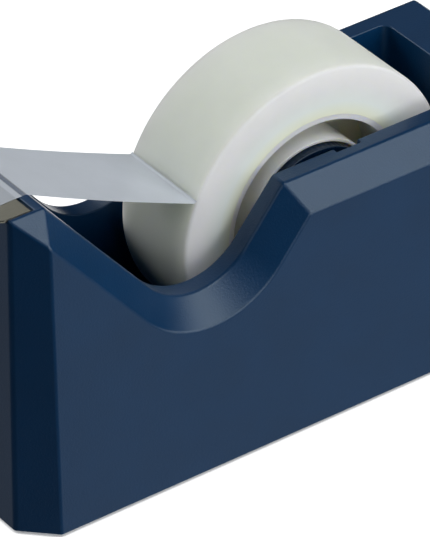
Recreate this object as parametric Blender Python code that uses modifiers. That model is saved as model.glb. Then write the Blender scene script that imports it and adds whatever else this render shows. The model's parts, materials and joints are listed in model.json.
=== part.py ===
"""Desk tape dispenser: a weighted plastic housing with a well for the roll, a steel
cutting blade on the front post, and a roll of tape on a hub whose pin lifts out.

Metres, +Z up. +X points to the rear and the blade is at -X. The origin is on the
surface that the dispenser stands on, below the middle of its length and width.
"""

import math

import bmesh
import bpy
from mathutils import Matrix, Vector

MM = 0.001

# Housing, outside
LENGTH = 117.24 * MM  # over the lower edge
WIDTH = 45.34 * MM  # over the lower edge
FOOT = 0.6 * MM  # the pad's height below the lower edge
DRAFT = 0.026  # how far each wall leans in, per unit of height
POST_TOP = 63.36 * MM  # front post, which carries the blade
REAR_TOP = 48.97 * MM
POST_EDGE_X = -49.87 * MM  # where the front post's top ends
RAMP_TOP_X = -1.15 * MM  # where the rear top begins
RAMP_ANGLE = math.radians(50)
VALLEY_RADIUS = 13.33 * MM
SIDE_BEVEL = 4.74 * MM  # 45 degree bevel along the side walls' tops
CORNER_CHAMFER = 5.82 * MM  # 45 degree chamfer of each upright corner, at the lower edge
WALL = 2.2 * MM
CHAMFER_GROWTH = 2 - math.sqrt(2)  # change of a 45 degree chamfer's leg per unit of inset

# Well for the roll
WELL_HALF_WIDTH = 13.38 * MM
WELL_FRONT_X = -43.1 * MM
WELL_REAR_X = 43.7 * MM
WELL_FLOOR = 5.4 * MM
WELL_FLOOR_UNDER = 3.9 * MM
WELL_CORNER_RADIUS = 1.8 * MM
WELL_WALL = 2.0 * MM

# Axle, and the leaning grooves that its ends drop into
AXLE_X = 10.86 * MM
AXLE_Z = 34.77 * MM
PIN_RADIUS = 2.2 * MM
PIN_LENGTH = 28.3 * MM
GROOVE_WIDTH = 5.0 * MM
GROOVE_DEPTH = 1.05 * MM
GROOVE_LEAN = math.radians(14.5)  # from upright, towards the rear

# Roll of tape, its core and its hub
TAPE_WIDTH = 19.1 * MM
ROLL_RADIUS = 27.87 * MM
CORE_RIM_INNER = 17.46 * MM
CORE_RIM_OUTER = 18.5 * MM
CORE_BORE = 12.75 * MM
CORE_SLEEVE_OUTER = 13.35 * MM
CORE_SLEEVE_SETBACK = 0.83 * MM
CORE_WEB = 1.4 * MM
HUB_RADIUS = 12.4 * MM
HUB_RIM_INNER = 11.2 * MM
HUB_HALF_LENGTH = 10.0 * MM
HUB_WEB_FROM = 4.0 * MM
HUB_WEB_TO = 5.6 * MM
HUB_BOSS_RADIUS = 4.6 * MM
HUB_BOSS_END = 12.9 * MM
HUB_BORE = 2.5 * MM

# Blade and the loose end of the tape
BLADE_HALF_WIDTH = 15.5 * MM
BLADE_THICKNESS = 0.5 * MM
BLADE_REAR_X = -52.1 * MM
BLADE_TIP_X = -58.5 * MM
TOOTH_DEPTH = 1.1 * MM
TOOTH_COUNT = 20
BLADE_LEG_DEPTH = 5.5 * MM
BLADE_LEG_HALF_WIDTH = 14.6 * MM
BLADE_SLOT_REAR_X = -51.6 * MM
BLADE_SLOT_HALF_WIDTH = 15.8 * MM
BLADE_SEAT_DEPTH = 0.5 * MM  # the blade lies almost flush with the post's top
PEEL_ANGLE = math.radians(155.7)  # where the loose end leaves the roll
STRIP_THICKNESS = 0.25 * MM
STRIP_END_X = -58.2 * MM
STRIP_SKEW = 0.046  # sideways drift of the loose end, per unit of length along X

# Base plate, screws, weights and pad
PLATE_UNDER = 1.5 * MM
PLATE_TOP = 3.5 * MM
PAD_TOP = 1.2 * MM
PAD_MARGIN = 4.6 * MM  # from the housing's outline to the pad's
POST_X = 50.6 * MM
POST_Y = 15.6 * MM
SCREW_POST_RADIUS = 3.2 * MM
SCREW_SHANK_RADIUS = 1.2 * MM
SCREW_HEAD_RADIUS = 2.6 * MM
SCREW_HEAD_UNDER = 1.55 * MM
SCREW_HEAD_TOP = 2.4 * MM
SCREW_END = 14.0 * MM
WEIGHT_X = (45.9 * MM, 54.4 * MM)
WEIGHT_HALF_WIDTH = 11.4 * MM
WEIGHT_UNDER = 5.1 * MM
FRONT_WEIGHT_TOP = 52.0 * MM
REAR_WEIGHT_TOP = 42.0 * MM

GAP = 0.3 * MM  # clearance between neighbouring pieces
THIN_GAP = 0.1 * MM  # under the blade and under the loose end
BLADE_TOP = POST_TOP - BLADE_SEAT_DEPTH + THIN_GAP + BLADE_THICKNESS
BEYOND = 8 * MM  # how far a cutter runs past what it cuts


def clear_scene():
    for old in list(bpy.data.objects):
        bpy.data.objects.remove(old, do_unlink=True)


def new_collection(name):
    collection = bpy.data.collections.new(name)
    bpy.context.scene.collection.children.link(collection)
    return collection


def material(name, colour, roughness, metallic=0.0):
    made = bpy.data.materials.new(name)
    made.use_nodes = True
    shader = made.node_tree.nodes["Principled BSDF"]
    shader.inputs["Base Color"].default_value = (*colour, 1.0)
    shader.inputs["Roughness"].default_value = roughness
    shader.inputs["Metallic"].default_value = metallic
    return made


def add_part(name, bm, finish, location=(0, 0, 0)):
    """A sub-part from a bmesh, in the dispenser's own collection."""
    mesh = bpy.data.meshes.new(name)
    bmesh.ops.recalc_face_normals(bm, faces=bm.faces)
    bm.to_mesh(mesh)
    bm.free()
    mesh.materials.append(finish)
    part = bpy.data.objects.new(name, mesh)
    part.location = location
    PARTS.objects.link(part)
    return part


def add_cutter(name, bm):
    """A closed tool for Booleans, which is never rendered."""
    mesh = bpy.data.meshes.new(name)
    bmesh.ops.recalc_face_normals(bm, faces=bm.faces)
    bm.to_mesh(mesh)
    bm.free()
    cutter = bpy.data.objects.new(name, mesh)
    cutter.hide_render = True
    cutter.display_type = "WIRE"
    CUTTERS.objects.link(cutter)
    return cutter


def boolean(part, other, operation="DIFFERENCE"):
    modifier = part.modifiers.new(other.name, "BOOLEAN")
    modifier.operation = operation
    modifier.object = other
    modifier.solver = "EXACT"


def box_mesh(low, high):
    """A bmesh box between two opposite corners."""
    bm = bmesh.new()
    low, high = Vector(low), Vector(high)
    bmesh.ops.create_cube(bm, size=1.0)
    bmesh.ops.scale(bm, vec=high - low, verts=bm.verts)
    bmesh.ops.translate(bm, vec=(low + high) / 2, verts=bm.verts)
    return bm


def rod_mesh(radius, low_z, high_z, x=0.0, y=0.0, segments=24):
    """A bmesh cylinder along Z."""
    bm = bmesh.new()
    place = Matrix.Translation((x, y, (low_z + high_z) / 2))
    bmesh.ops.create_cone(
        bm, cap_ends=True, segments=segments, radius1=radius, radius2=radius,
        depth=high_z - low_z, matrix=place,
    )
    return bm


def upright_edges(bm):
    return [e for e in bm.edges if abs((e.verts[0].co - e.verts[1].co).normalized().z) > 0.99]


def rounded_box_mesh(low, high, radius, segments=4):
    """A box whose upright corners are rounded."""
    bm = box_mesh(low, high)
    bmesh.ops.bevel(
        bm, geom=upright_edges(bm), offset=radius, segments=segments, profile=0.5,
        affect="EDGES", clamp_overlap=False,
    )
    return bm


def turned(name, profile, finish, location=(0, 0, 0), segments=48):
    """A piece turned about Y. The profile lists (radius, y) as a loop that keeps off the axis."""
    bm = bmesh.new()
    corners = [bm.verts.new((radius, y, 0)) for radius, y in profile]
    for first, second in zip(corners, corners[1:] + corners[:1]):
        bm.edges.new((first, second))
    mesh = bpy.data.meshes.new(name)
    bm.to_mesh(mesh)
    bm.free()
    mesh.materials.append(finish)
    part = bpy.data.objects.new(name, mesh)
    part.location = location
    PARTS.objects.link(part)
    spin = part.modifiers.new("Turn", "SCREW")
    spin.axis = "Y"
    spin.steps = segments
    spin.render_steps = segments
    spin.use_merge_vertices = True
    spin.merge_threshold = 0.00001
    spin.use_smooth_shade = False
    return part


def side_outline(inset, lower_z):
    """The housing's side view as (x, z) points, moved inwards by inset, down to lower_z."""
    sine, cosine = math.sin(RAMP_ANGLE), math.cos(RAMP_ANGLE)
    half = LENGTH / 2 + DRAFT * FOOT - inset
    corner_shift = inset * math.tan(RAMP_ANGLE / 2)
    centre_x = (POST_EDGE_X + RAMP_TOP_X) / 2 + (POST_TOP - REAR_TOP) * cosine / (2 * sine)
    centre_z = (POST_TOP + REAR_TOP) / 2 + VALLEY_RADIUS / cosine
    centre_z -= (RAMP_TOP_X - POST_EDGE_X) * sine / (2 * cosine)
    radius = VALLEY_RADIUS + inset
    steps = 10
    arc = []
    for step in range(steps + 1):
        angle = -math.pi / 2 - RAMP_ANGLE + 2 * RAMP_ANGLE * step / steps
        arc.append((centre_x + radius * math.cos(angle), centre_z + radius * math.sin(angle)))
    front_z, rear_z = POST_TOP - inset, REAR_TOP - inset
    return [
        (-half + DRAFT * lower_z, lower_z),
        (-half + DRAFT * front_z, front_z),
        (POST_EDGE_X - corner_shift, front_z),
        *arc,
        (RAMP_TOP_X + corner_shift, rear_z),
        (half - DRAFT * rear_z, rear_z),
        (half - DRAFT * lower_z, lower_z),
    ]


def side_half_width(z, inset):
    return WIDTH / 2 + DRAFT * (FOOT - z) - inset


def housing_block(inset, lower_z):
    """The housing's outer form, solid, with every face moved inwards by inset."""
    outline = side_outline(inset, lower_z)
    bm = bmesh.new()
    near = bm.faces.new([bm.verts.new((x, -1.0, z)) for x, z in outline])
    grown = bmesh.ops.extrude_face_region(bm, geom=[near])["geom"]
    far = [item for item in grown if isinstance(item, bmesh.types.BMVert)]
    bmesh.ops.translate(bm, vec=(0, 2.0, 0), verts=far)
    for vert in bm.verts:
        vert.co.y *= side_half_width(vert.co.z, inset)
    bmesh.ops.recalc_face_normals(bm, faces=bm.faces)
    bevel_top_edges(bm, SIDE_BEVEL - CHAMFER_GROWTH * inset)
    for x_side in (-1, 1):
        for y_side in (-1, 1):
            chamfer_corner(bm, x_side, y_side, inset)
    return bm


def bevel_top_edges(bm, width):
    """Bevels the side walls' tops and the rear top edge, but not the front post's front edge."""
    front_x = min(v.co.x for v in bm.verts)
    lower_z = min(v.co.z for v in bm.verts)
    chosen = []
    for edge in bm.edges:
        first, second = (v.co for v in edge.verts)
        low = min(first.z, second.z) < lower_z + MM
        across = abs(first.y - second.y) > MM
        rear_top = across and first.x > LENGTH / 4 and not low
        along_side = not across and not low and min(first.x, second.x) > front_x + 0.1 * MM
        front_top = not across and not low and abs(first.z - second.z) < 0.1 * MM
        if rear_top or along_side or front_top:
            chosen.append(edge)
    bmesh.ops.bevel(
        bm, geom=chosen, offset=width, segments=1, profile=0.5, affect="EDGES",
        clamp_overlap=False, miter_outer="SHARP",
    )


def chamfer_corner(bm, x_side, y_side, inset):
    """Cuts one upright corner at 45 degrees, with the walls' own draft."""
    leg = CORNER_CHAMFER - CHAMFER_GROWTH * inset
    x = x_side * (LENGTH / 2 + DRAFT * FOOT - inset)
    y = y_side * (side_half_width(FOOT, inset) + DRAFT * FOOT)
    through = Vector((x - x_side * leg, y, 0))
    normal = Vector((x_side, y_side, DRAFT * math.sqrt(2)))
    cut = bmesh.ops.bisect_plane(
        bm, geom=bm.verts[:] + bm.edges[:] + bm.faces[:], plane_co=through,
        plane_no=normal, clear_outer=True,
    )["geom_cut"]
    rim = [item for item in cut if isinstance(item, bmesh.types.BMEdge)]
    bmesh.ops.holes_fill(bm, edges=rim)


def base_outline_mesh(margin, low_z, high_z):
    """A flat plate on the housing's footprint, smaller by margin all round."""
    half_length, half_width = LENGTH / 2 - margin, WIDTH / 2 - margin
    bm = box_mesh((-half_length, -half_width, low_z), (half_length, half_width, high_z))
    bmesh.ops.bevel(
        bm, geom=upright_edges(bm), offset=CORNER_CHAMFER - CHAMFER_GROWTH * margin,
        segments=1, affect="EDGES", clamp_overlap=False,
    )
    return bm


def screw_places():
    return [(x, y) for x in (-POST_X, POST_X) for y in (-POST_Y, POST_Y)]


def make_housing():
    """One moulding: outer walls, the well, four screw posts, the axle grooves and the blade slot."""
    housing = add_part("housing", housing_block(0.0, FOOT), NAVY_PLASTIC)

    hollow = add_cutter("housing_hollow", housing_block(WALL, FOOT - BEYOND))
    well_outside = add_cutter("well_outside", rounded_box_mesh(
        (WELL_FRONT_X - WELL_WALL, -WELL_HALF_WIDTH - WELL_WALL, WELL_FLOOR_UNDER),
        (WELL_REAR_X + WELL_WALL, WELL_HALF_WIDTH + WELL_WALL, POST_TOP + BEYOND),
        WELL_CORNER_RADIUS + WELL_WALL,
    ))
    boolean(hollow, well_outside)
    for number, (x, y) in enumerate(screw_places(), 1):
        post = rod_mesh(SCREW_POST_RADIUS, PLATE_TOP + GAP, POST_TOP + BEYOND, x, y)
        boolean(hollow, add_cutter(f"screw_post_{number}", post))
    boolean(housing, hollow)

    boolean(housing, add_cutter("well", rounded_box_mesh(
        (WELL_FRONT_X, -WELL_HALF_WIDTH, WELL_FLOOR),
        (WELL_REAR_X, WELL_HALF_WIDTH, POST_TOP + BEYOND),
        WELL_CORNER_RADIUS,
    )))
    boolean(housing, add_cutter("axle_grooves", groove_mesh()))
    boolean(housing, add_cutter("blade_seat", box_mesh(
        (-LENGTH, -BLADE_SLOT_HALF_WIDTH, POST_TOP - BLADE_SEAT_DEPTH),
        (BLADE_SLOT_REAR_X, BLADE_SLOT_HALF_WIDTH, POST_TOP + BEYOND),
    )))
    slot_bottom = BLADE_TOP - BLADE_LEG_DEPTH - GAP
    boolean(housing, add_cutter("blade_slot", box_mesh(
        (BLADE_REAR_X - BLADE_THICKNESS - GAP, -BLADE_SLOT_HALF_WIDTH, slot_bottom),
        (BLADE_SLOT_REAR_X, BLADE_SLOT_HALF_WIDTH, POST_TOP + BEYOND),
    )))
    for number, (x, y) in enumerate(screw_places(), 1):
        pilot = rod_mesh(SCREW_SHANK_RADIUS + GAP, 0.0, SCREW_END + GAP, x, y, 16)
        boolean(housing, add_cutter(f"screw_pilot_{number}", pilot))
    return housing


def groove_mesh():
    """One bar across both well walls, round at its foot, that leaves a groove in each."""
    reach = WELL_HALF_WIDTH + GROOVE_DEPTH
    half = GROOVE_WIDTH / 2
    rise = REAR_TOP - AXLE_Z + BEYOND
    steps = 10
    outline = [(half * math.cos(math.pi + math.pi * k / steps),
                half * math.sin(math.pi + math.pi * k / steps)) for k in range(steps + 1)]
    outline += [(half, rise), (-half, rise)]
    bm = bmesh.new()
    near = bm.faces.new([bm.verts.new((x, -reach, z)) for x, z in outline])
    grown = bmesh.ops.extrude_face_region(bm, geom=[near])["geom"]
    far = [item for item in grown if isinstance(item, bmesh.types.BMVert)]
    bmesh.ops.translate(bm, vec=(0, 2 * reach, 0), verts=far)
    lean = Matrix.Translation((AXLE_X, 0, AXLE_Z)) @ Matrix.Rotation(GROOVE_LEAN, 4, "Y")
    bmesh.ops.transform(bm, matrix=lean, verts=bm.verts)
    return bm


def make_base_plate():
    plate = add_part("base_plate", base_outline_mesh(WALL + GAP, PLATE_UNDER, PLATE_TOP), BLACK_PLASTIC)
    for number, (x, y) in enumerate(screw_places(), 1):
        hole = rod_mesh(SCREW_SHANK_RADIUS + GAP, 0.0, PLATE_TOP + BEYOND, x, y, 16)
        boolean(plate, add_cutter(f"plate_hole_{number}", hole))
        seat = rod_mesh(SCREW_HEAD_RADIUS + GAP, 0.0, SCREW_HEAD_TOP + GAP, x, y, 20)
        boolean(plate, add_cutter(f"plate_seat_{number}", seat))
    return plate


def make_pad():
    return add_part("non_slip_pad", base_outline_mesh(PAD_MARGIN, 0.0, PAD_TOP), BLACK_FOAM)


def make_screws():
    """Four flat-headed screws that hold the base plate to the housing's posts."""
    for number, (x, y) in enumerate(screw_places(), 1):
        bm = rod_mesh(SCREW_HEAD_RADIUS, SCREW_HEAD_UNDER, SCREW_HEAD_TOP, segments=20)
        cap = max(bm.faces, key=lambda face: face.calc_center_median().z)
        bmesh.ops.inset_individual(bm, faces=[cap], thickness=SCREW_HEAD_RADIUS - SCREW_SHANK_RADIUS)
        shank = bmesh.ops.extrude_discrete_faces(bm, faces=[cap])["faces"][0]
        bmesh.ops.translate(bm, vec=(0, 0, SCREW_END - SCREW_HEAD_TOP), verts=shank.verts)
        add_part(f"base_screw_{number}", bm, STEEL, (x, y, 0))


def make_weights():
    """A steel block in the front post and one behind the well, each on a strip of foam."""
    for name, side, top in (("front_weight", -1, FRONT_WEIGHT_TOP), ("rear_weight", 1, REAR_WEIGHT_TOP)):
        ends = sorted(side * x for x in WEIGHT_X)
        block = box_mesh((ends[0], -WEIGHT_HALF_WIDTH, WEIGHT_UNDER), (ends[1], WEIGHT_HALF_WIDTH, top))
        add_part(name, block, CAST_STEEL)
        foam = box_mesh(
            (ends[0] + MM, -WEIGHT_HALF_WIDTH + MM, PLATE_TOP + GAP),
            (ends[1] - MM, WEIGHT_HALF_WIDTH - MM, WEIGHT_UNDER - GAP),
        )
        add_part(f"{name}_foam", foam, BLACK_FOAM)


def make_blade():
    """A toothed steel plate on the front post, with a leg bent down into the slot behind it."""
    top = BLADE_TOP
    pitch = 2 * BLADE_HALF_WIDTH / TOOTH_COUNT
    outline = [(BLADE_REAR_X, BLADE_HALF_WIDTH), (BLADE_REAR_X, -BLADE_HALF_WIDTH)]
    for tooth in range(TOOTH_COUNT):
        start = -BLADE_HALF_WIDTH + tooth * pitch
        outline.append((BLADE_TIP_X + TOOTH_DEPTH, start))
        outline.append((BLADE_TIP_X, start + pitch / 2))
    outline.append((BLADE_TIP_X + TOOTH_DEPTH, BLADE_HALF_WIDTH))
    bm = bmesh.new()
    face = bm.faces.new([bm.verts.new((x, y, top)) for x, y in outline])
    grown = bmesh.ops.extrude_face_region(bm, geom=[face])["geom"]
    lower = [item for item in grown if isinstance(item, bmesh.types.BMVert)]
    bmesh.ops.translate(bm, vec=(0, 0, -BLADE_THICKNESS), verts=lower)
    blade = add_part("blade", bm, STEEL)
    leg = add_cutter("blade_leg", box_mesh(
        (BLADE_REAR_X - BLADE_THICKNESS, -BLADE_LEG_HALF_WIDTH, top - BLADE_LEG_DEPTH),
        (BLADE_REAR_X, BLADE_LEG_HALF_WIDTH, top - BLADE_THICKNESS / 2),
    ))
    boolean(blade, leg, "UNION")
    return blade


def make_axle(pivot):
    """The pin that the hub turns on. Its ends drop into the well's grooves."""
    bm = rod_mesh(PIN_RADIUS, -PIN_LENGTH / 2, PIN_LENGTH / 2, segments=32)
    bmesh.ops.rotate(bm, matrix=Matrix.Rotation(math.pi / 2, 3, "X"), verts=bm.verts)
    pin = add_part("axle_pin", bm, STEEL)
    pin.parent = pivot
    return pin


def make_strip(pivot):
    """The loose end of the tape, from the roll to the blade, drifting a little to the left."""
    reach = ROLL_RADIUS + GAP + STRIP_THICKNESS
    over_blade = BLADE_TOP + THIN_GAP + STRIP_THICKNESS / 2
    path = [
        (reach * math.cos(PEEL_ANGLE), reach * math.sin(PEEL_ANGLE)),
        (POST_EDGE_X - AXLE_X, over_blade - AXLE_Z),
        (STRIP_END_X - AXLE_X, over_blade - AXLE_Z),
    ]
    bm = bmesh.new()
    line = [bm.verts.new((x, -TAPE_WIDTH / 2, z)) for x, z in path]
    edges = [bm.edges.new(pair) for pair in zip(line, line[1:])]
    grown = bmesh.ops.extrude_edge_only(bm, edges=edges)["geom"]
    far = [item for item in grown if isinstance(item, bmesh.types.BMVert)]
    bmesh.ops.translate(bm, vec=(0, TAPE_WIDTH, 0), verts=far)
    for vert in bm.verts:
        vert.co.y += STRIP_SKEW * (vert.co.x - path[0][0])
    strip = add_part("tape_strip", bm, CLEAR_TAPE)
    strip.parent = pivot
    thicken = strip.modifiers.new("Thickness", "SOLIDIFY")
    thicken.thickness = STRIP_THICKNESS
    thicken.offset = 0.0
    thicken.use_even_offset = True
    return strip


def make_wheel(pivot):
    """Everything that turns: the wound tape, its core and the hub's two halves."""
    half = TAPE_WIDTH / 2
    roll = turned("tape_roll", [
        (ROLL_RADIUS, half), (ROLL_RADIUS, -half),
        (CORE_RIM_OUTER + GAP, -half), (CORE_RIM_OUTER + GAP, half),
    ], CLEAR_TAPE, segments=72)
    sleeve = half - CORE_SLEEVE_SETBACK
    web = CORE_WEB / 2
    core = turned("tape_core", [
        (CORE_RIM_OUTER, half), (CORE_RIM_OUTER, -half), (CORE_RIM_INNER, -half),
        (CORE_RIM_INNER, -web), (CORE_SLEEVE_OUTER, -web), (CORE_SLEEVE_OUTER, -sleeve),
        (CORE_BORE, -sleeve), (CORE_BORE, sleeve), (CORE_SLEEVE_OUTER, sleeve),
        (CORE_SLEEVE_OUTER, web), (CORE_RIM_INNER, web), (CORE_RIM_INNER, half),
    ], CREAM_PLASTIC, segments=56)
    pieces = [roll, core]
    for name, side in (("hub_left", -1), ("hub_right", 1)):
        profile = [
            (HUB_RADIUS, HUB_HALF_LENGTH), (HUB_RADIUS, GAP / 2), (HUB_RIM_INNER, GAP / 2),
            (HUB_RIM_INNER, HUB_WEB_FROM), (HUB_BOSS_RADIUS, HUB_WEB_FROM),
            (HUB_BOSS_RADIUS, GAP / 2), (HUB_BORE, GAP / 2), (HUB_BORE, HUB_BOSS_END),
            (HUB_BOSS_RADIUS, HUB_BOSS_END), (HUB_BOSS_RADIUS, HUB_WEB_TO),
            (HUB_RIM_INNER, HUB_WEB_TO), (HUB_RIM_INNER, HUB_HALF_LENGTH),
        ]
        if side < 0:
            profile = [(radius, -y) for radius, y in reversed(profile)]
        pieces.append(turned(name, profile, NAVY_PLASTIC, segments=48))
    for piece in pieces:
        piece.parent = pivot


def main():
    make_housing()
    make_base_plate()
    make_pad()
    make_screws()
    make_weights()
    make_blade()
    pivot = bpy.data.objects.new("axle_pivot", None)
    pivot.location = (AXLE_X, 0, AXLE_Z)
    PARTS.objects.link(pivot)
    make_axle(pivot)
    make_strip(pivot)
    make_wheel(pivot)


clear_scene()
PARTS = new_collection("tape_dispenser")
CUTTERS = new_collection("cutters")
NAVY_PLASTIC = material("navy_plastic", (0.025, 0.055, 0.105), 0.42)
BLACK_PLASTIC = material("black_plastic", (0.02, 0.02, 0.022), 0.5)
BLACK_FOAM = material("black_foam", (0.03, 0.03, 0.03), 0.95)
STEEL = material("steel", (0.55, 0.55, 0.53), 0.3, 1.0)
CAST_STEEL = material("cast_steel", (0.2, 0.2, 0.2), 0.6, 1.0)
CREAM_PLASTIC = material("cream_plastic", (0.72, 0.7, 0.58), 0.5)
CLEAR_TAPE = material("matte_tape", (0.72, 0.76, 0.7), 0.6)
main()
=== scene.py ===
"""The looks of a navy desk tape dispenser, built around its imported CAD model.

Lengths are in metres. +X runs to the rear end, +Y to the far side and +Z up, from the table."""

import json
import math

import bmesh
import bpy
from mathutils import Matrix, Vector


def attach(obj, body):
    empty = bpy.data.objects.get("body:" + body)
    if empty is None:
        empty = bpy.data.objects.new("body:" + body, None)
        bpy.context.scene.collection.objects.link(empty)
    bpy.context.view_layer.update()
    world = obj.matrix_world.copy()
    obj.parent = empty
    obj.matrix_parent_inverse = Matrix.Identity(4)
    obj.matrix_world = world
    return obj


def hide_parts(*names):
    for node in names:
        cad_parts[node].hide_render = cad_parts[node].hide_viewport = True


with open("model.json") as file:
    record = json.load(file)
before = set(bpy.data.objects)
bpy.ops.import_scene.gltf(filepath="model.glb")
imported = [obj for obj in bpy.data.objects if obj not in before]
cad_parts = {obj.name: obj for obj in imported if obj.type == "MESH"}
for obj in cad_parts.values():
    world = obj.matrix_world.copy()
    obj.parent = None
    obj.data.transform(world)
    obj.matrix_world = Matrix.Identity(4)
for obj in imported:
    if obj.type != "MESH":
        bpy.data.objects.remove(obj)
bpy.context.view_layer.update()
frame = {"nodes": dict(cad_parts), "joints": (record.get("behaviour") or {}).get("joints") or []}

MM = 0.001

# Housing, as in the CAD model. Its ends and sides lean in by DRAFT for each unit of height.
LENGTH = 117.24 * MM
WIDTH = 45.34 * MM
FOOT = 0.6 * MM
DRAFT = 0.026
POST_TOP = 63.36 * MM
REAR_TOP = 48.97 * MM
POST_EDGE_X = -49.87 * MM
RAMP_TOP_X = -1.15 * MM
RAMP_ANGLE = math.radians(50)
VALLEY_RADIUS = 13.33 * MM
SIDE_BEVEL = 4.74 * MM
CORNER_CHAMFER = 5.82 * MM
WALL = 2.2 * MM
CHAMFER_SHRINKAGE = 2 - math.sqrt(2)  # loss of a 45 degree cut's leg for each unit of inset
WELL_HALF_WIDTH = 13.38 * MM
WELL_FRONT_X = -43.1 * MM
WELL_REAR_X = 43.7 * MM
WELL_FLOOR = 5.4 * MM
WELL_FLOOR_UNDER = 3.9 * MM
WELL_CORNER_RADIUS = 1.8 * MM
WELL_WALL = 2.0 * MM
GROOVE_WIDTH = 5.0 * MM
GROOVE_DEPTH = 1.05 * MM
GROOVE_LEAN = math.radians(14.5)
SCREW_POST_RADIUS = 3.2 * MM
POST_X = 50.6 * MM
POST_Y = 15.6 * MM
PLATE_TOP = 3.5 * MM
GAP = 0.3 * MM
BEYOND = 8 * MM  # how far a cutting tool sticks out

# Rounding of the housing's edges: bevel widths by place on the outer form, the width that an edge
# of full bevel weight gets, and the width around the well, the grooves and the blade's seat
FRONT_ROUNDING = 0.8 * MM
POST_TOP_ROUNDING = 0.25 * MM
FOOT_ROUNDING = 0.2 * MM
OTHER_ROUNDING = 0.4 * MM
FULL_ROUNDING = 1.0 * MM
CUT_ROUNDING = 0.22 * MM

# Blade
BLADE_HALF_WIDTH = 15.5 * MM
BLADE_THICKNESS = 0.5 * MM
BLADE_REAR_X = -52.1 * MM
BLADE_TIP_X = -58.5 * MM
TOOTH_DEPTH = 1.1 * MM
TOOTH_COUNT = 20
BLADE_LEG_DEPTH = 5.5 * MM
BLADE_LEG_HALF_WIDTH = 14.6 * MM
BLADE_SLOT_REAR_X = -51.6 * MM
BLADE_SEAT_DEPTH = 0.5 * MM
BLADE_SEAT_HALF_WIDTH = 15.65 * MM
BLADE_GAP = 0.1 * MM
BLADE_TOP = POST_TOP - BLADE_SEAT_DEPTH + BLADE_GAP + BLADE_THICKNESS
BLADE_BEND_RADIUS = 0.3 * MM
BLADE_EDGE_ROUNDING = 0.06 * MM

# Underside
PLATE_UNDER = 1.5 * MM
PAD_TOP = 1.2 * MM
PAD_MARGIN = 4.6 * MM
SCREW_SHANK_RADIUS = 1.2 * MM
SCREW_HEAD_RADIUS = 2.6 * MM
SCREW_HEAD_TOP = 2.4 * MM
SCREW_PLACES = [(x, y) for x in (-POST_X, POST_X) for y in (-POST_Y, POST_Y)]
PLATE_ROUNDING = 0.2 * MM
PAD_ROUNDING = 0.25 * MM

# Roll and loose end
AXLE = Vector(next(j["pos_m"] for j in frame["joints"] if j["name"] == "roll_spin"))
TAPE_WIDTH = 19.1 * MM
ROLL_RADIUS = 27.87 * MM
ROLL_ROUNDING = 0.8 * MM
ROLL_CLEARANCE = 0.005 * MM  # between the innermost film and the core
FILM = 0.06 * MM
PEEL_ANGLE = math.radians(155.7)
PEEL_BEND_RADIUS = 0.5 * MM
STRIP_SKEW = 0.046  # sideways drift towards the blade, per unit of length
STRIP_SAG = 0.35 * MM
STRIP_TEETH = 0.8 * MM

# Core, hub and pin
CORE_RIM_INNER = 17.46 * MM
CORE_RIM_OUTER = 18.5 * MM
CORE_BORE = 12.75 * MM
CORE_SLEEVE_OUTER = 13.35 * MM
CORE_SLEEVE_SETBACK = 0.83 * MM
CORE_WEB = 1.4 * MM
CORE_ROUNDING = 0.12 * MM
HUB_RADIUS = 12.4 * MM
HUB_RIM_INNER = 11.2 * MM
HUB_HALF_LENGTH = 10.0 * MM
HUB_SPLIT = 0.15 * MM  # from the middle to each half
HUB_WEB_FROM = 4.0 * MM
HUB_WEB_TO = 5.6 * MM
HUB_BOSS_RADIUS = 4.6 * MM
HUB_BOSS_END = 12.9 * MM
HUB_BORE = 2.5 * MM
HUB_ROUNDING = 0.3 * MM
HUB_RIBS = 72
HUB_RIB_DEPTH = 0.12 * MM
PIN_RADIUS = 2.2 * MM
PIN_LENGTH = 28.3 * MM
PIN_CHAMFER = 0.4 * MM

# Camera: a long lens that looks down on the near side, from the front left. It aims at a point
# in the lower front of the roll, and leans a little.
CAMERA_AIM = Vector((-3.867, 0, 23.102)) * MM
CAMERA_DISTANCE = 1017.691 * MM
CAMERA_AZIMUTH = math.radians(-35.464)
CAMERA_ELEVATION = math.radians(34.635)
CAMERA_ROLL = math.radians(-0.8125)
CAMERA_LENS = 390.0

# Light. Each soft box: its name, bearing and height in degrees, size in metres, and radiance.
LIGHTS = (
    ("key", 41, 42, 0.45, 3.1),
    ("key_low", 40, 12, 0.5, 2.9),
    ("front_high", 10, 64, 0.4, 4.3),
    ("front_low", 5, 15, 0.5, 2.5),
    ("left", -80, 25, 0.5, 1.0),
    ("behind_left", -150, 25, 0.5, 3.4),
    ("behind", 180, 40, 0.5, 1.9),
    ("behind_right", 145, 35, 0.5, 0.2),
    ("behind_right_low", 128, -22, 0.4, 2.0),
    ("table_bounce", 0, -89, 0.9, 3.4),
    ("table_bounce_right", 34, -32, 0.5, 0.55),
    ("table_bounce_behind", -143, -33, 0.5, 0.26),
)
LIGHT_DISTANCE = 0.9
LIGHT_AIM = Vector((0, 0, 30)) * MM
FLOOR_SIZE = 3.0

WHITE = (1.0, 1.0, 1.0)
BLACK = (0.0, 0.0, 0.0)


# ---------------------------------------------------------------- camera, floor and light

def direction(bearing, height):
    """From the dispenser outward: bearing is 0 at its near side and grows towards its rear end."""
    return Vector((
        math.sin(bearing) * math.cos(height),
        -math.cos(bearing) * math.cos(height),
        math.sin(height),
    ))


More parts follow.
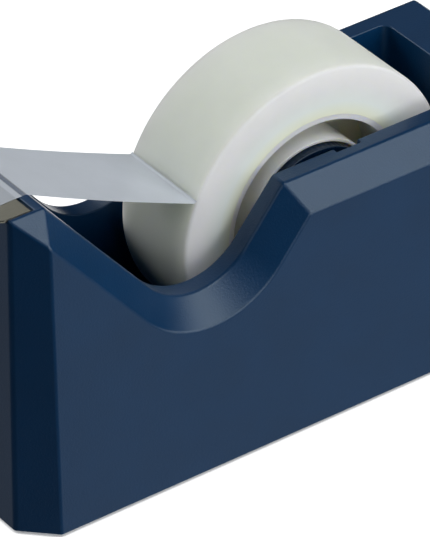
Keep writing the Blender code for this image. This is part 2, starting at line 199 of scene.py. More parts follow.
def make_camera():
    """Placed by the way back from what it aims at to the camera."""
    back = direction(CAMERA_AZIMUTH, CAMERA_ELEVATION)
    right = Vector((math.cos(CAMERA_AZIMUTH), math.sin(CAMERA_AZIMUTH), 0))
    up = back.cross(right)
    tilted_right = right * math.cos(CAMERA_ROLL) + up * math.sin(CAMERA_ROLL)
    tilted_up = up * math.cos(CAMERA_ROLL) - right * math.sin(CAMERA_ROLL)
    rotation = Matrix((tilted_right, tilted_up, back)).transposed().to_4x4()
    lens = bpy.data.cameras.new("camera")
    lens.lens = CAMERA_LENS
    lens.clip_start, lens.clip_end = 0.05, 20
    camera = bpy.data.objects.new("camera", lens)
    camera.matrix_world = Matrix.Translation(CAMERA_AIM + back * CAMERA_DISTANCE) @ rotation
    bpy.context.scene.collection.objects.link(camera)
    bpy.context.scene.camera = camera


def soft_box(name, bearing, height, size, radiance):
    """A square light that faces the dispenser."""
    light = bpy.data.lights.new(name, "AREA")
    light.shape = "SQUARE"
    light.size = size
    light.energy = radiance * math.pi * size ** 2
    lamp = bpy.data.objects.new(name, light)
    back = direction(math.radians(bearing), math.radians(height))
    lamp.location = LIGHT_AIM + back * LIGHT_DISTANCE
    lamp.rotation_mode = "QUATERNION"
    lamp.rotation_quaternion = back.to_track_quat("Z", "Y")
    lamp.visible_camera = False
    bpy.context.scene.collection.objects.link(lamp)


def make_light():
    """Soft boxes all round, in a dark world. Those below stand in for the light off the table."""
    world = bpy.data.worlds.new("studio")
    world.use_nodes = True
    world.node_tree.nodes["Background"].inputs["Strength"].default_value = 0.0
    bpy.context.scene.world = world
    for light in LIGHTS:
        soft_box(*light)
    bpy.context.scene.view_settings.view_transform = "Standard"


def make_floor():
    """The white table, which is seen and shaded but sends the dispenser no light of its own."""
    mesh = bpy.data.meshes.new("floor")
    bm = bmesh.new()
    bmesh.ops.create_grid(bm, x_segments=1, y_segments=1, size=FLOOR_SIZE)
    bm.to_mesh(mesh)
    bm.free()
    floor = bpy.data.objects.new("floor", mesh)
    floor.data.materials.append(white_table())
    bpy.context.scene.collection.objects.link(floor)
    floor.visible_diffuse = floor.visible_glossy = floor.visible_shadow = False


# ---------------------------------------------------------------- materials

class Finish:
    """A Principled material in object coordinates, built up one procedural layer at a time."""

    def __init__(self, name, roughness, metallic=0.0):
        self.material = bpy.data.materials.new(name)
        self.material.use_nodes = True
        self.tree = self.material.node_tree
        self.shader = self.tree.nodes["Principled BSDF"]
        self.shader.inputs["Metallic"].default_value = metallic
        self.shader.inputs["Roughness"].default_value = roughness
        self.position = self.tree.nodes.new("ShaderNodeTexCoord").outputs["Object"]

    def node(self, kind, **settings):
        """A new node. Each setting is one of its properties or the value of an input socket."""
        made = self.tree.nodes.new(kind)
        for name, value in settings.items():
            if hasattr(made, name):
                setattr(made, name, value)
            else:
                made.inputs[name.replace("_", " ").title()].default_value = value
        return made

    def link(self, source, target):
        self.tree.links.new(source, target)

    def coordinates(self, scale=(1, 1, 1), shift=(0, 0, 0)):
        """Object coordinates, multiplied axis by axis and then shifted."""
        mapping = self.node("ShaderNodeMapping")
        mapping.inputs["Scale"].default_value = scale
        mapping.inputs["Location"].default_value = shift
        self.link(self.position, mapping.inputs["Vector"])
        return mapping.outputs["Vector"]

    def axle_distance(self):
        """Distance from the wheel's axis."""
        length = self.node("ShaderNodeVectorMath", operation="LENGTH")
        self.link(self.coordinates(scale=(1, 0, 1), shift=-AXLE), length.inputs[0])
        return length.outputs["Value"]

    def axis(self, name):
        """One of the object coordinates: X, Y or Z."""
        split = self.node("ShaderNodeSeparateXYZ")
        self.link(self.position, split.inputs["Vector"])
        return split.outputs[name]

    def spread(self, value, low, high, at_low=0.0, at_high=1.0):
        """Maps low..high to at_low..at_high, and holds the ends beyond them."""
        made = self.node("ShaderNodeMapRange")
        made.inputs["From Min"].default_value = low
        made.inputs["From Max"].default_value = high
        made.inputs["To Min"].default_value = at_low
        made.inputs["To Max"].default_value = at_high
        self.link(value, made.inputs["Value"])
        return made.outputs["Result"]

    def noise(self, size, detail=2.0, position=None, roughness=0.5):
        """Grey noise whose blobs are about size across, at the object coordinates or at position."""
        made = self.node("ShaderNodeTexNoise", Scale=1.0 / size, Detail=detail, Roughness=roughness)
        self.link(position or self.position, made.inputs["Vector"])
        return made.outputs["Fac"]

    def blend(self, factor, stops):
        """A colour ramp through (position, colour) stops."""
        ramp = self.node("ShaderNodeValToRGB")
        points = ramp.color_ramp.elements
        while len(points) < len(stops):
            points.new(1.0)
        for point, (position, colour) in zip(points, stops):
            point.position = position
            point.color = (*colour, 1.0)
        self.link(factor, ramp.inputs["Fac"])
        return ramp.outputs["Color"]

    def multiplied(self, first, second):
        """The product of two colours."""
        mix = self.node("ShaderNodeMix", data_type="RGBA", blend_type="MULTIPLY")
        mix.inputs["Factor"].default_value = 1.0
        sockets = [socket for socket in mix.inputs if socket.type == "RGBA"]
        self.link(first, sockets[0])
        self.link(second, sockets[1])
        return next(socket for socket in mix.outputs if socket.type == "RGBA")

    def colour(self, factor, dark, light, low=0.3, high=0.7):
        """Base colour between two shades, as factor goes from low to high."""
        self.link(self.blend(factor, ((low, dark), (high, light))), self.shader.inputs["Base Color"])

    def roughness(self, factor, smooth_value, rough_value):
        """Roughness between two values, as factor goes from 0.3 to 0.7."""
        value = self.spread(factor, 0.3, 0.7, smooth_value, rough_value)
        self.link(value, self.shader.inputs["Roughness"])

    def bump(self, factor, depth, strength=1.0):
        made = self.node("ShaderNodeBump", Strength=strength, Distance=depth)
        self.link(factor, made.inputs["Height"])
        self.link(made.outputs["Normal"], self.shader.inputs["Normal"])


def moulded_plastic(name, colour, roughness):
    """Satin moulded plastic with a fine spark-eroded grain and a slightly blue gloss."""
    finish = Finish(name, roughness)
    finish.shader.inputs["Specular IOR Level"].default_value = 0.5
    finish.shader.inputs["Specular Tint"].default_value = (0.86, 1.0, 1.06, 1.0)
    cloud = finish.noise(9 * MM, 3.0)
    finish.colour(cloud, tuple(0.94 * c for c in colour), tuple(1.06 * c for c in colour))
    grain = finish.noise(0.35 * MM, 3.0)
    finish.roughness(grain, roughness - 0.03, roughness + 0.03)
    finish.bump(grain, 0.034 * MM)
    return finish.material


def white_table():
    """White paper, evenly lit, with a painted contact shadow: its glow goes dark only where
    something nearly touches it.
    """
    finish = Finish("white_table", 0.9)
    finish.shader.inputs["Specular IOR Level"].default_value = 0.0
    finish.colour(finish.noise(60 * MM), (0.38,) * 3, (0.40,) * 3)
    # Painted contact shadow: the table's glow fades by ambient occlusion close under the dispenser.
    near = finish.node("ShaderNodeAmbientOcclusion", samples=8)
    near.inputs["Distance"].default_value = 0.8 * MM
    painted_contact_shadow = finish.blend(near.outputs["AO"], ((0.48, BLACK), (0.8, WHITE)))
    finish.link(painted_contact_shadow, finish.shader.inputs["Emission Color"])
    finish.shader.inputs["Emission Strength"].default_value = 0.95
    return finish.material


def end_faces(finish, inner, outer, middle_colour, end_colour):
    """Two colours that blend from inner to outer, measured sideways from the roll's middle."""
    reach = finish.node("ShaderNodeMath", operation="ABSOLUTE")
    finish.link(finish.axis("Y"), reach.inputs[0])
    share = finish.spread(reach.outputs["Value"], inner, outer)
    return finish.blend(share, ((0.0, middle_colour), (1.0, end_colour)))


def mottled(finish, colour, size, low=0.97, high=1.03):
    """Cloudy variation multiplied into a colour."""
    cloud = finish.blend(finish.noise(size, 3.0), ((0.3, (low,) * 3), (0.7, (high,) * 3)))
    finish.link(finish.multiplied(colour, cloud), finish.shader.inputs["Base Color"])


def wound_tape():
    """The roll: milky film that glows a little where light passes through it.

    Its flat ends are painted lighter and bluer than its outer band: painted light, with a painted
    blue bounce off the housing. The outer band is painted darker, though its yellow-green tone is
    the film's own. Next to the core it is painted creamy: painted light bounced off the cream core."""
    # Painted light and shade: the flat ends lighter and bluer than the outer band, which is painted
    # darker.
    outer_band_tone_and_shade, flat_end_tone_and_light = (0.79, 0.835, 0.76), (0.90, 0.98, 0.94)
    core_bounce_cream = (1.0, 0.96, 0.80)
    ring_spacing = 1.776 * MM
    finish = Finish("wound_tape", 0.6)
    shader = finish.shader
    from_axis = finish.axle_distance()
    glow = finish.spread(from_axis, CORE_RIM_OUTER + 2 * MM, CORE_RIM_OUTER + 6 * MM)
    finish.link(glow, shader.inputs["Subsurface Weight"])
    shader.inputs["Subsurface Radius"].default_value = (1.0, 1.0, 0.9)
    shader.inputs["Subsurface Scale"].default_value = 9.0 * MM
    shader.inputs["Specular IOR Level"].default_value = 0.2
    half = TAPE_WIDTH / 2
    colour = end_faces(finish, half - 0.425 * MM, half - 0.05 * MM, outer_band_tone_and_shade, flat_end_tone_and_light)
    # Painted bounce light: a cream tint next to the core, standing in for light thrown back off the
    # cream core through the film.
    core_bounce_share = finish.spread(from_axis, CORE_RIM_OUTER, CORE_RIM_OUTER + 2.5 * MM)
    tint = finish.blend(core_bounce_share, ((0.0, core_bounce_cream), (1.0, WHITE)))
    mottled(finish, finish.multiplied(colour, tint), 7 * MM, 0.985, 1.015)
    rings = finish.node("ShaderNodeTexWave", wave_type="RINGS", rings_direction="Y")
    rings.inputs["Scale"].default_value = 2 * math.pi / (20 * ring_spacing)  # 20 radians per unit
    rings.inputs["Distortion"].default_value = 1.5
    finish.link(finish.coordinates(shift=-AXLE), rings.inputs["Vector"])
    finish.bump(rings.outputs["Fac"], 0.003 * MM, 0.6)
    return finish.material


def tape_film():
    """One layer of matte film: milky where it hangs free, clearer where it is stuck down."""
    finish = Finish("tape_film", 0.42)
    finish.shader.inputs["Specular IOR Level"].default_value = 0.4
    cloud = finish.noise(5 * MM, 3.0)
    finish.colour(cloud, (0.60, 0.65, 0.715), (0.625, 0.675, 0.745))
    streaks = finish.noise(1.0, 2.0, finish.coordinates((120, 900, 120)))
    finish.bump(streaks, 0.015 * MM)
    opacity = (
        (BLADE_TIP_X, 0.52), (BLADE_REAR_X - 0.3 * MM, 0.52),
        (BLADE_REAR_X + 0.1 * MM, 0.80), (POST_EDGE_X - 1.3 * MM, 0.76),
        (POST_EDGE_X - 1.0 * MM, 0.13), (POST_EDGE_X - 0.3 * MM, 0.22),
        (POST_EDGE_X + 0.1 * MM, 0.92),
    )
    first, last = BLADE_TIP_X, POST_EDGE_X + MM
    span = finish.spread(finish.axis("X"), first, last)
    stops = [((x - first) / (last - first), (alpha,) * 3) for x, alpha in opacity]
    finish.link(finish.blend(span, stops), finish.shader.inputs["Alpha"])
    return finish.material


def core_plastic():
    """Cream plastic, painted warmer and lighter deep in the recess than at its rims: painted bounce
    light in the recess.
    """
    recess, rim = (0.96, 0.95, 0.85), (0.90, 0.91, 0.87)
    finish = Finish("core_plastic", 0.45)
    shader = finish.shader
    shader.inputs["Subsurface Weight"].default_value = 0.6
    shader.inputs["Subsurface Radius"].default_value = (1.0, 0.85, 0.45)
    shader.inputs["Subsurface Scale"].default_value = 2.0 * MM
    half = TAPE_WIDTH / 2
    # Painted bounce light: the colour deep in the recess is warmer and lighter than at the rims.
    colour = end_faces(finish, half - 6 * MM, half - 0.5 * MM, recess, rim)
    mottled(finish, colour, 4 * MM)
    finish.bump(finish.noise(0.5 * MM, 2.0), 0.006 * MM)
    return finish.material


def ground_steel(name, colour, roughness, lay):
    """Steel with fine grinding marks. lay gives the marks' fineness along each axis, per metre."""
    finish = Finish(name, roughness, metallic=1.0)
    marks = finish.noise(1.0, 4.0, finish.coordinates(lay), roughness=0.6)
    finish.colour(marks, tuple(0.85 * c for c in colour), colour)
    finish.roughness(marks, roughness - 0.06, roughness + 0.08)
    finish.bump(marks, 0.004 * MM)
    return finish.material


def black_foam():
    """Foam rubber with cells that show as small pits, each painted darker towards its bottom:
    painted shade.
    """
    finish = Finish("black_foam", 0.95)
    cells = finish.node("ShaderNodeTexVoronoi", Scale=1 / (0.7 * MM))
    finish.link(finish.position, cells.inputs["Vector"])
    # Painted shade: darkest where the pits are deepest.
    finish.colour(cells.outputs["Distance"], (0.010,) * 3, (0.035,) * 3, 0.1, 0.7)
    finish.bump(cells.outputs["Distance"], 0.12 * MM)
    return finish.material


# ---------------------------------------------------------------- geometry helpers

def new_object(name, bm, finish=None):
    mesh = bpy.data.meshes.new(name)
    bm.to_mesh(mesh)
    bm.free()
    made = bpy.data.objects.new(name, mesh)
    if finish:
        mesh.materials.append(finish)
    bpy.context.scene.collection.objects.link(made)
    return made


def subtract(target, tool):
    """Adds a Boolean. apply_all removes its tool."""
    modifier = target.modifiers.new(tool.name, "BOOLEAN")
    modifier.object = tool
    modifier.operation = "DIFFERENCE"
    modifier.solver = "EXACT"


def cut(target, bm):
    """Takes the shape in bm out of target."""
    subtract(target, new_object(f"{target.name}_tool_{len(target.modifiers)}", bm))


def bevel(target, width, segments, angle=None):
    """Rounds the edges sharper than angle, or, with no angle, each edge by its bevel weight."""
    modifier = target.modifiers.new("Rounded edges", "BEVEL")
    modifier.width = width
    modifier.segments = segments
    modifier.use_clamp_overlap = False
    modifier.limit_method = "ANGLE" if angle else "WEIGHT"
    if angle:
        modifier.angle_limit = angle
    modifier.miter_outer = "MITER_ARC"


def apply_all(target):
    """Turns an object's modifiers into plain mesh and removes their tools."""
    tools = [m.object for m in target.modifiers if m.type == "BOOLEAN"]
    graph = bpy.context.evaluated_depsgraph_get()
    mesh = bpy.data.meshes.new_from_object(target.evaluated_get(graph))
    target.modifiers.clear()
    target.data = mesh
    for tool in tools:
        bpy.data.objects.remove(tool, do_unlink=True)


def smooth(target):
    """Smooth shading in which flat faces stay flat right up to their rounded edges."""
    target.data.shade_smooth()
    target.data.set_sharp_from_angle(angle=math.radians(32))
    weigh = target.modifiers.new("Flat faces", "WEIGHTED_NORMAL")
    weigh.mode = "FACE_AREA"
    weigh.weight = 100
    weigh.keep_sharp = True
    apply_all(target)


def box_mesh(low, high):
    bm = bmesh.new()
    low, high = Vector(low), Vector(high)
    bmesh.ops.create_cube(bm, size=1.0)
    bmesh.ops.scale(bm, vec=high - low, verts=bm.verts)
    bmesh.ops.translate(bm, vec=(low + high) / 2, verts=bm.verts)
    return bm


def rod_mesh(radius, low_z, high_z, x=0.0, y=0.0, segments=32):
    """An upright round bar."""
    bm = bmesh.new()
    middle = Matrix.Translation((x, y, (low_z + high_z) / 2))
    bmesh.ops.create_cone(
        bm, cap_ends=True, segments=segments, radius1=radius, radius2=radius,
        depth=high_z - low_z, matrix=middle,
    )
    return bm


def upright_edges(bm):
    return [e for e in bm.edges if abs((e.verts[0].co - e.verts[1].co).normalized().z) > 0.99]


def rounded_box_mesh(low, high, radius):
    """A box with round upright edges."""
    bm = box_mesh(low, high)
    bmesh.ops.bevel(
        bm, geom=upright_edges(bm), offset=radius, segments=10, profile=0.5,
        affect="EDGES", clamp_overlap=False,
    )
    return bm


def extruded(outline, half_width):
    """A closed outline of (x, z) points, drawn out to both sides of the middle."""
    bm = bmesh.new()
    near = bm.faces.new([bm.verts.new((x, -half_width, z)) for x, z in outline])
    grown = bmesh.ops.extrude_face_region(bm, geom=[near])["geom"]
    far = [item for item in grown if isinstance(item, bmesh.types.BMVert)]
    bmesh.ops.translate(bm, vec=(0, 2 * half_width, 0), verts=far)
    bmesh.ops.recalc_face_normals(bm, faces=bm.faces)
    return bm


def curved_sheet(rows):
    """A surface over rows of points, each row as long as the next."""
    bm = bmesh.new()
    grid = [[bm.verts.new(point) for point in row] for row in rows]
    for first, second in zip(grid, grid[1:]):
        for corners in zip(first, first[1:], second[1:], second):
            bm.faces.new(corners)
    bmesh.ops.recalc_face_normals(bm, faces=bm.faces)
    return bm


replaced_nodes = set()


def place(piece, body, node):
    """Hands a finished piece to the frame in place of its CAD node."""
    smooth(piece)
    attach(piece, body)
    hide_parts(node)
    replaced_nodes.add(node)


# ---------------------------------------------------------------- housing

def side_outline(inset, lower_z, steps):
    """The housing from the side: post, ramp, round valley floor, ramp and rear body."""
    sine, cosine = math.sin(RAMP_ANGLE), math.cos(RAMP_ANGLE)
    half = LENGTH / 2 + DRAFT * FOOT - inset
    corner_shift = inset * math.tan(RAMP_ANGLE / 2)
    centre_x = (POST_EDGE_X + RAMP_TOP_X) / 2 + (POST_TOP - REAR_TOP) * cosine / (2 * sine)
    centre_z = (POST_TOP + REAR_TOP) / 2 + VALLEY_RADIUS / cosine
    centre_z -= (RAMP_TOP_X - POST_EDGE_X) * sine / (2 * cosine)
    radius = VALLEY_RADIUS + inset
    arc = []
    for step in range(steps + 1):
        angle = -math.pi / 2 - RAMP_ANGLE + 2 * RAMP_ANGLE * step / steps
        arc.append((centre_x + radius * math.cos(angle), centre_z + radius * math.sin(angle)))
    front_z, rear_z = POST_TOP - inset, REAR_TOP - inset
    return [
        (-half + DRAFT * lower_z, lower_z),
        (-half + DRAFT * front_z, front_z),
        (POST_EDGE_X - corner_shift, front_z),
        *arc,
        (RAMP_TOP_X + corner_shift, rear_z),
        (half - DRAFT * rear_z, rear_z),
        (half - DRAFT * lower_z, lower_z),
    ]


def half_width_at(z, inset):
    """Half of the housing's width at a height, less an inset."""
    return WIDTH / 2 + DRAFT * (FOOT - z) - inset


def housing_block(inset, lower_z, steps):
    """The housing's outer form, or, with an inset, the space inside its walls."""
    bm = extruded(side_outline(inset, lower_z, steps), 1.0)
    for vert in bm.verts:
        vert.co.y *= half_width_at(vert.co.z, inset)
    bevel_top_edges(bm, SIDE_BEVEL - CHAMFER_SHRINKAGE * inset)
    for x_side in (-1, 1):
        for y_side in (-1, 1):
            chamfer_corner(bm, x_side, y_side, inset)
    bmesh.ops.remove_doubles(bm, verts=bm.verts, dist=0.2 * MM)
    return bm


def bevel_top_edges(bm, width):
    """A flat bevel along both upper edges of the sides, and across the top of the rear end."""
    front_x = min(v.co.x for v in bm.verts)
    lower_z = min(v.co.z for v in bm.verts)
    near = 0.1 * MM
    chosen = []
    for edge in bm.edges:
        first, second = (v.co for v in edge.verts)
        if min(first.z, second.z) < lower_z + MM:
            continue
        across = abs(first.y - second.y) > MM
        rear_top = across and first.x > LENGTH / 4
        along_side = not across and min(first.x, second.x) > front_x + near
        front_top = not across and abs(first.z - second.z) < near
        if rear_top or along_side or front_top:
            chosen.append(edge)
    bmesh.ops.bevel(
        bm, geom=chosen, offset=width, segments=1, profile=0.5, affect="EDGES",
        clamp_overlap=False, miter_outer="SHARP",
    )


def chamfer_corner(bm, x_side, y_side, inset):
    """Slices off an upright corner at 45 degrees."""
    leg = CORNER_CHAMFER - CHAMFER_SHRINKAGE * inset
    x = x_side * (LENGTH / 2 + DRAFT * FOOT - inset)
    y = y_side * (half_width_at(FOOT, inset) + DRAFT * FOOT)
    through = Vector((x - x_side * leg, y, 0))
    normal = Vector((x_side, y_side, DRAFT * math.sqrt(2)))
    geometry = bm.verts[:] + bm.edges[:] + bm.faces[:]
    rim = bmesh.ops.bisect_plane(
        bm, geom=geometry, plane_co=through, plane_no=normal, clear_outer=True,
    )["geom_cut"]
    bmesh.ops.holes_fill(bm, edges=[item for item in rim if isinstance(item, bmesh.types.BMEdge)])


def weigh_edges(bm):
    """Gives each crisp edge the share of FULL_ROUNDING that its place on the moulding has."""
    weight = bm.edges.layers.float.new("bevel_weight_edge")
    front_x = min(v.co.x for v in bm.verts)
    for edge in bm.edges:
        if len(edge.link_faces) != 2 or edge.calc_face_angle(0) < math.radians(20):
            continue
        first, second = (v.co for v in edge.verts)
        middle = (first + second) / 2
        upright = abs((first - second).normalized().z) > 0.95
        on_post_top = min(first.z, second.z) > POST_TOP - 0.05 * MM
        along = abs(first.x - second.x) > MM
        if on_post_top and along:
            rounding = POST_TOP_ROUNDING
        elif upright and middle.x < front_x + 1.5 * MM:
            rounding = FRONT_ROUNDING
        elif middle.z < FOOT + 0.01 * MM:
            rounding = FOOT_ROUNDING
        else:
            rounding = OTHER_ROUNDING
        edge[weight] = rounding / FULL_ROUNDING


def make_housing():
    """The outer form, less the blade's seat and slot, the well, the grooves and the inside."""
    above = POST_TOP + BEYOND
    bm = housing_block(0.0, FOOT, 40)
    weigh_edges(bm)
    housing = new_object("housing_shell", bm, NAVY)
    bevel(housing, FULL_ROUNDING, 4)
    blade_seat = box_mesh(
        (-LENGTH / 2 - BEYOND, -BLADE_SEAT_HALF_WIDTH, POST_TOP - BLADE_SEAT_DEPTH),
        (BLADE_SLOT_REAR_X, BLADE_SEAT_HALF_WIDTH, above),
    )
    cut(housing, blade_seat)
    blade_slot = box_mesh(
        (BLADE_REAR_X - BLADE_THICKNESS - GAP, -BLADE_HALF_WIDTH, BLADE_TOP - BLADE_LEG_DEPTH - GAP),
        (BLADE_SLOT_REAR_X - 0.02 * MM, BLADE_HALF_WIDTH, above),
    )
    cut(housing, blade_slot)
    well = rounded_box_mesh(
        (WELL_FRONT_X, -WELL_HALF_WIDTH, WELL_FLOOR),
        (WELL_REAR_X, WELL_HALF_WIDTH, above),
        WELL_CORNER_RADIUS,
    )
    cut(housing, well)
    cut(housing, groove_mesh())
    # A bevel spoils large faces with holes, so they are split into triangles first.
    housing.modifiers.new("Triangles", "TRIANGULATE")
    bevel(housing, CUT_ROUNDING, 3, angle=math.radians(42))
    subtract(housing, make_hollow())
    apply_all(housing)
    place(housing, "base", "housing")


def groove_mesh():
    """The leaning grooves for the pin's ends, as one bar with a round bottom."""
    half = GROOVE_WIDTH / 2
    rise = REAR_TOP - AXLE.z + BEYOND
    steps = 24
    outline = []
    for step in range(steps + 1):
        angle = math.pi + math.pi * step / steps
        outline.append((half * math.cos(angle), half * math.sin(angle)))
    outline += [(half, rise), (-half, rise)]
    bm = extruded(outline, WELL_HALF_WIDTH + GROOVE_DEPTH)
    lean = Matrix.Translation(AXLE) @ Matrix.Rotation(GROOVE_LEAN, 4, "Y")
    bmesh.ops.transform(bm, matrix=lean, verts=bm.verts)
    return bm


def make_hollow():
    """The space inside the housing: within the walls, around the well and the screw posts."""
    above = POST_TOP + BEYOND
    hollow = new_object("housing_hollow", housing_block(WALL, FOOT - BEYOND, 24))
    around_well = rounded_box_mesh(
        (WELL_FRONT_X - WELL_WALL, -WELL_HALF_WIDTH - WELL_WALL, WELL_FLOOR_UNDER),
        (WELL_REAR_X + WELL_WALL, WELL_HALF_WIDTH + WELL_WALL, above),
        WELL_CORNER_RADIUS + WELL_WALL,
    )
    cut(hollow, around_well)
    for x, y in SCREW_PLACES:
        cut(hollow, rod_mesh(SCREW_POST_RADIUS, PLATE_TOP + GAP, above, x, y))
    apply_all(hollow)
    return hollow


# ---------------------------------------------------------------- turned pieces

def rounded(profile, reaches, steps=5):
    """A closed outline of (radius, y) points with its corners rounded.

    reaches says how far each corner's rounding goes along its sides, at most 0.45 of a side."""
    result = []
    for index, corner in enumerate(profile):
        here = Vector(corner)
        if reaches[index] == 0:
            result.append(tuple(here))
            continue
        before = Vector(profile[index - 1]) - here
        after = Vector(profile[(index + 1) % len(profile)]) - here
        reach = min(reaches[index], before.length * 0.45, after.length * 0.45)
        start, end = here + before.normalized() * reach, here + after.normalized() * reach
        for step in range(steps + 1):
            t = step / steps
            result.append(tuple(start * (1 - t) ** 2 + here * 2 * t * (1 - t) + end * t ** 2))
    return result


def turned(name, profile, finish, steps=192, wave=None):
    """A ring of the closed (radius, y) profile, turned about the axle.

    wave(angle, radius, y) returns how far a point moves outward."""
    bm = bmesh.new()
    rings = []
    for step in range(steps):
        angle = 2 * math.pi * step / steps
        ring = []
        for radius, y in profile:
            reach = radius + (wave(angle, radius, y) if wave else 0.0)
            offset = Vector((reach * math.cos(angle), y, reach * math.sin(angle)))
            ring.append(bm.verts.new(AXLE + offset))
        rings.append(ring)
    for first, second in zip(rings, rings[1:] + rings[:1]):
        for corners in zip(first, first[1:] + first[:1], second[1:] + second[:1], second):
            bm.faces.new(corners)
    bmesh.ops.recalc_face_normals(bm, faces=bm.faces)
    return new_object(name, bm, finish)


def make_roll():
    """The wound tape, whose outer surface is a spiral of one film's thickness."""
    half = TAPE_WIDTH / 2
    inner = CORE_RIM_OUTER + ROLL_CLEARANCE
    profile = [(ROLL_RADIUS, half), (ROLL_RADIUS, -half), (inner, -half), (inner, half)]

    def spiral(angle, radius, y):
        """The last turn leaves at the peel line, so the surface drops there by its thickness."""
        turn = ((angle - PEEL_ANGLE) % (2 * math.pi)) / (2 * math.pi)
        return -FILM * (1 - turn) if radius > ROLL_RADIUS - MM else 0.0

    reaches = [ROLL_ROUNDING, ROLL_ROUNDING, 0, 0]
    roll = turned("wound_roll", rounded(profile, reaches, 10), wound_tape(), 288, spiral)
    place(roll, "wheel", "tape_roll")


def make_core():
    """An outer ring under the tape and an inner one round the hub, joined by a web."""
    half = TAPE_WIDTH / 2
    sleeve = half - CORE_SLEEVE_SETBACK
    web = CORE_WEB / 2
    profile = [
        (CORE_RIM_OUTER, half), (CORE_RIM_OUTER, -half), (CORE_RIM_INNER, -half),
        (CORE_RIM_INNER, -web), (CORE_SLEEVE_OUTER, -web), (CORE_SLEEVE_OUTER, -sleeve),
        (CORE_BORE, -sleeve), (CORE_BORE, sleeve), (CORE_SLEEVE_OUTER, sleeve),
        (CORE_SLEEVE_OUTER, web), (CORE_RIM_INNER, web), (CORE_RIM_INNER, half),
    ]
    reaches = [0, 0] + [CORE_ROUNDING] * (len(profile) - 2)
    core = turned("roll_core", rounded(profile, reaches), core_plastic())
    place(core, "wheel", "tape_core")


def make_hubs():
    """Two halves, each with a ribbed rim, a web and a boss for the pin."""
    profile = [
        (HUB_RADIUS, HUB_HALF_LENGTH), (HUB_RADIUS, HUB_SPLIT), (HUB_RIM_INNER, HUB_SPLIT),
        (HUB_RIM_INNER, HUB_WEB_FROM), (HUB_BOSS_RADIUS, HUB_WEB_FROM),
        (HUB_BOSS_RADIUS, HUB_SPLIT), (HUB_BORE, HUB_SPLIT), (HUB_BORE, HUB_BOSS_END),
        (HUB_BOSS_RADIUS, HUB_BOSS_END), (HUB_BOSS_RADIUS, HUB_WEB_TO),
        (HUB_RIM_INNER, HUB_WEB_TO), (HUB_RIM_INNER, HUB_HALF_LENGTH),
    ]
    profile = rounded(profile, [HUB_ROUNDING] * len(profile))

    def ribs(angle, radius, y):
        """Fine grip ribs along the hub's outer band."""
        if radius < HUB_RADIUS - 0.1 * MM or abs(y) > HUB_HALF_LENGTH - 0.5 * MM:
            return 0.0
        return -HUB_RIB_DEPTH * (0.5 + 0.5 * math.cos(HUB_RIBS * angle))

    for name, side in (("hub_left", -1), ("hub_right", 1)):
        half = [(radius, side * y) for radius, y in profile]
        hub = turned(f"{name}_half", half, HUB_NAVY, HUB_RIBS * 6, ribs)
        place(hub, "wheel", name)


def make_pin():
    """The steel pin that lies across the well in its grooves."""
    half = PIN_LENGTH / 2
    bm = rod_mesh(PIN_RADIUS, -half, half, segments=64)
    bmesh.ops.rotate(bm, matrix=Matrix.Rotation(math.pi / 2, 3, "X"), verts=bm.verts)
    rims = [e for e in bm.edges if abs(e.verts[0].co.y - e.verts[1].co.y) < 0.1 * MM]
    bmesh.ops.bevel(bm, geom=rims, offset=PIN_CHAMFER, segments=3, profile=0.5, affect="EDGES")
    bmesh.ops.translate(bm, vec=AXLE, verts=bm.verts)
    steel = ground_steel("pin_steel", (0.56, 0.56, 0.55), 0.3, (3000, 200, 3000))
    place(new_object("axle_rod", bm, steel), "axle", "axle_pin")


# ---------------------------------------------------------------- blade and loose end

def make_blade():
    """Sheet steel: a flat toothed top, and a leg bent down behind it over a small radius."""
    bend = BLADE_BEND_RADIUS
    bend_steps = 6
    path = [(BLADE_TIP_X + TOOTH_DEPTH, BLADE_TOP)]
    for step in range(bend_steps + 1):
        angle = math.pi / 2 * step / bend_steps
        path.append((BLADE_REAR_X - bend + bend * math.sin(angle),
                     BLADE_TOP - bend + bend * math.cos(angle)))
    path.append((BLADE_REAR_X, BLADE_TOP - BLADE_LEG_DEPTH))
    half_pitch = BLADE_HALF_WIDTH / TOOTH_COUNT
    rows = []
    for index, (x, z) in enumerate(path):
        row = []
        narrowing = BLADE_LEG_HALF_WIDTH / BLADE_HALF_WIDTH if index == len(path) - 1 else 1.0
        for column in range(2 * TOOTH_COUNT + 1):
            y = column * half_pitch - BLADE_HALF_WIDTH
            tooth = TOOTH_DEPTH if index == 0 and column % 2 else 0.0
            row.append((x - tooth, y * narrowing, z))
        rows.append(row)
    steel = ground_steel("blade_steel", (0.36, 0.355, 0.30), 0.45, (500, 6000, 500))
    blade = new_object("serrated_blade", curved_sheet(rows), steel)
    thick = blade.modifiers.new("Sheet", "SOLIDIFY")
    thick.thickness = BLADE_THICKNESS
    thick.offset = -1.0
    thick.use_even_offset = True
    bevel(blade, BLADE_EDGE_ROUNDING, 2, angle=math.radians(40))
    apply_all(blade)
    place(blade, "base", "blade")


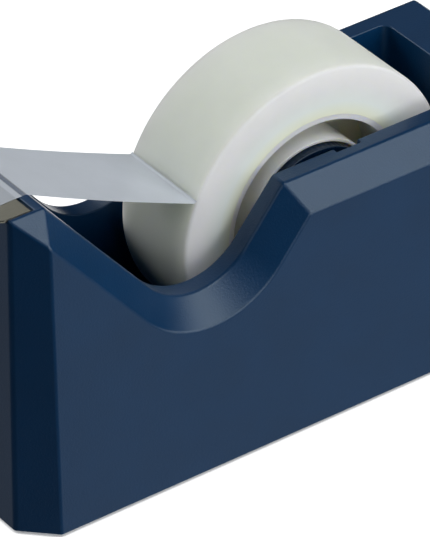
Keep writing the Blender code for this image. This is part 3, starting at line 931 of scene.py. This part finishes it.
def strip_path():
    """(x, z) points of the loose end, from the roll over a tight bend to the post and the blade."""
    bend = PEEL_BEND_RADIUS
    start = PEEL_ANGLE - bend / ROLL_RADIUS
    radial = Vector((math.cos(start), math.sin(start)))
    onward = Vector((-radial.y, radial.x))
    centre = Vector((AXLE.x, AXLE.z)) + radial * (ROLL_RADIUS + bend)
    land = Vector((POST_EDGE_X - 0.3 * MM, POST_TOP + FILM))
    gap = land - centre
    aim = math.atan2(gap.dot(radial), gap.dot(onward))
    turn = aim - math.acos(bend / gap.length) + math.pi / 2
    path = []
    bend_steps = 10
    for step in range(bend_steps + 1):
        angle = turn * step / bend_steps
        path.append(centre + bend * (-math.cos(angle) * radial + math.sin(angle) * onward))
    free_from = path[-1]
    free_steps = 24
    for step in range(1, free_steps):
        t = step / free_steps
        path.append(free_from.lerp(land, t) - Vector((0, STRIP_SAG * math.sin(math.pi * t))))
    blade_top = BLADE_TOP + FILM
    path += [
        land,
        Vector((land.x - 0.35 * MM, land.y)),
        Vector((BLADE_SLOT_REAR_X + 0.2 * MM, land.y)),
        Vector((BLADE_REAR_X - 0.1 * MM, blade_top - 0.02 * MM)),
        Vector((BLADE_REAR_X - 0.6 * MM, blade_top)),
        Vector((BLADE_REAR_X - 2.5 * MM, blade_top)),
        Vector((BLADE_TIP_X + 2.0 * MM, blade_top)),
        Vector((BLADE_TIP_X + TOOTH_DEPTH, blade_top)),
    ]
    return path


def make_strip():
    """One film along strip_path, its end torn along the blade's teeth."""
    path = strip_path()
    columns = round(TAPE_WIDTH / (BLADE_HALF_WIDTH / TOOTH_COUNT)) + 1
    rows = []
    for index, point in enumerate(path):
        row = []
        drift = STRIP_SKEW * (point.x - path[0].x)
        for column in range(columns + 1):
            tooth = STRIP_TEETH * (column % 2) if index == len(path) - 1 else 0.0
            across = TAPE_WIDTH * (column / columns - 0.5)
            row.append((point.x - tooth, AXLE.y + across + drift, point.y))
        rows.append(row)
    strip = new_object("loose_end", curved_sheet(rows), tape_film())
    thick = strip.modifiers.new("Film", "SOLIDIFY")
    thick.thickness = FILM
    thick.offset = 0.0
    apply_all(strip)
    place(strip, "axle", "tape_strip")


# ---------------------------------------------------------------- underside and inside

def base_outline_mesh(margin, low_z, high_z):
    """A plate with the housing's chamfered corners, smaller than its foot by margin all round."""
    half_length, half_width = LENGTH / 2 - margin, WIDTH / 2 - margin
    bm = box_mesh((-half_length, -half_width, low_z), (half_length, half_width, high_z))
    bmesh.ops.bevel(
        bm, geom=upright_edges(bm), offset=CORNER_CHAMFER - CHAMFER_SHRINKAGE * margin,
        segments=1, affect="EDGES", clamp_overlap=False,
    )
    return bm


def make_underside():
    """The plate that closes the housing, with holes for the screws, and the pad over it."""
    black_plastic = moulded_plastic("black_plastic", (0.018, 0.018, 0.02), 0.5)
    outline = base_outline_mesh(WALL + GAP, PLATE_UNDER, PLATE_TOP)
    plate = new_object("bottom_plate", outline, black_plastic)
    for x, y in SCREW_PLACES:
        cut(plate, rod_mesh(SCREW_HEAD_RADIUS + GAP, -BEYOND, SCREW_HEAD_TOP + GAP, x, y))
        cut(plate, rod_mesh(SCREW_SHANK_RADIUS + GAP, -BEYOND, BEYOND, x, y))
    bevel(plate, PLATE_ROUNDING, 2, angle=math.radians(40))
    apply_all(plate)
    place(plate, "base", "base_plate")

    pad = new_object("foam_pad", base_outline_mesh(PAD_MARGIN, 0.0, PAD_TOP), FOAM)
    bevel(pad, PAD_ROUNDING, 3, angle=math.radians(40))
    apply_all(pad)
    place(pad, "base", "non_slip_pad")


def finish_hidden_pieces():
    """The CAD solids that stay as they are take a proper finish."""
    finishes = (
        ("foam", FOAM),
        ("screw", ground_steel("screw_steel", (0.50, 0.50, 0.49), 0.35, (2500, 2500, 300))),
        ("weight", ground_steel("weight_steel", (0.24, 0.24, 0.25), 0.55, (400, 400, 400))),
    )
    for name, node in frame["nodes"].items():
        if name in replaced_nodes:
            continue
        finish = next(finish for kind, finish in finishes if kind in name)
        node.data.materials.clear()
        node.data.materials.append(finish)


make_camera()
make_light()
make_floor()
NAVY = moulded_plastic("navy_plastic", (0.0004, 0.028, 0.088), 0.34)
HUB_NAVY = moulded_plastic("hub_plastic", (0.0004, 0.011, 0.038), 0.3)
FOAM = black_foam()
make_housing()
make_roll()
make_core()
make_hubs()
make_pin()
make_blade()
make_strip()
make_underside()
finish_hidden_pieces()
